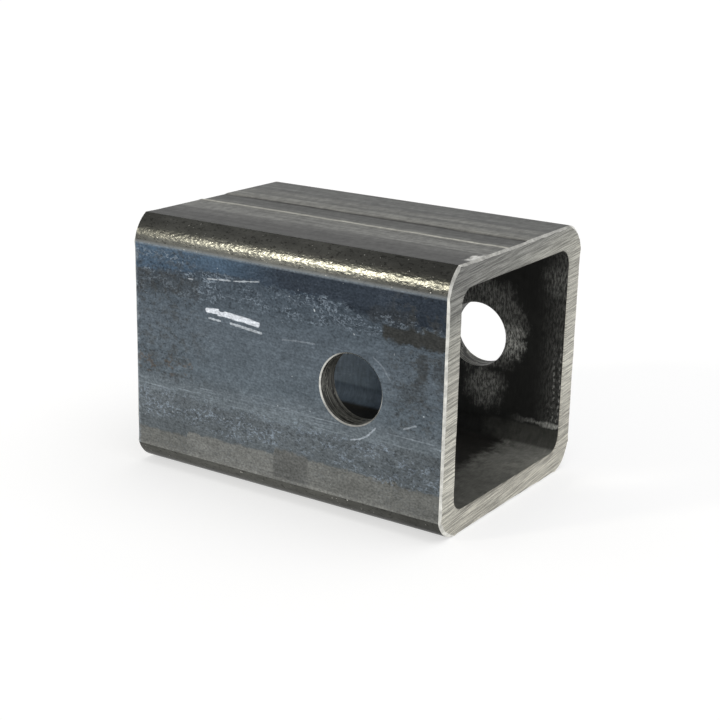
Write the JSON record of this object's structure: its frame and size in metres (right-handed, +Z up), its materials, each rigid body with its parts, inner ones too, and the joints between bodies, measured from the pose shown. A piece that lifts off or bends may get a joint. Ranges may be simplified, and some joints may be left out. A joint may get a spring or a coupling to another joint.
{
  "type": "receiver tube",
  "caption": "Short square steel receiver tube with saw-cut ends, rounded corners and a cross-drilled pin hole near the mouth, to be welded into a towing hitch.",
  "frame": {"origin": "under the middle of the tube, on the flat underside that it lies on", "axes": "+X along the tube and out of the mouth, Y along the pin hole, +Z up"},
  "size_m": [0.0888, 0.0636, 0.0635],
  "materials": {
    "mill_steel": "bare rolled steel with blue-grey mill scale, saw-cut ends"
  },
  "bodies": {
    "root": {"receiver_tube": "mill_steel"}
  },
  "joints": []
}
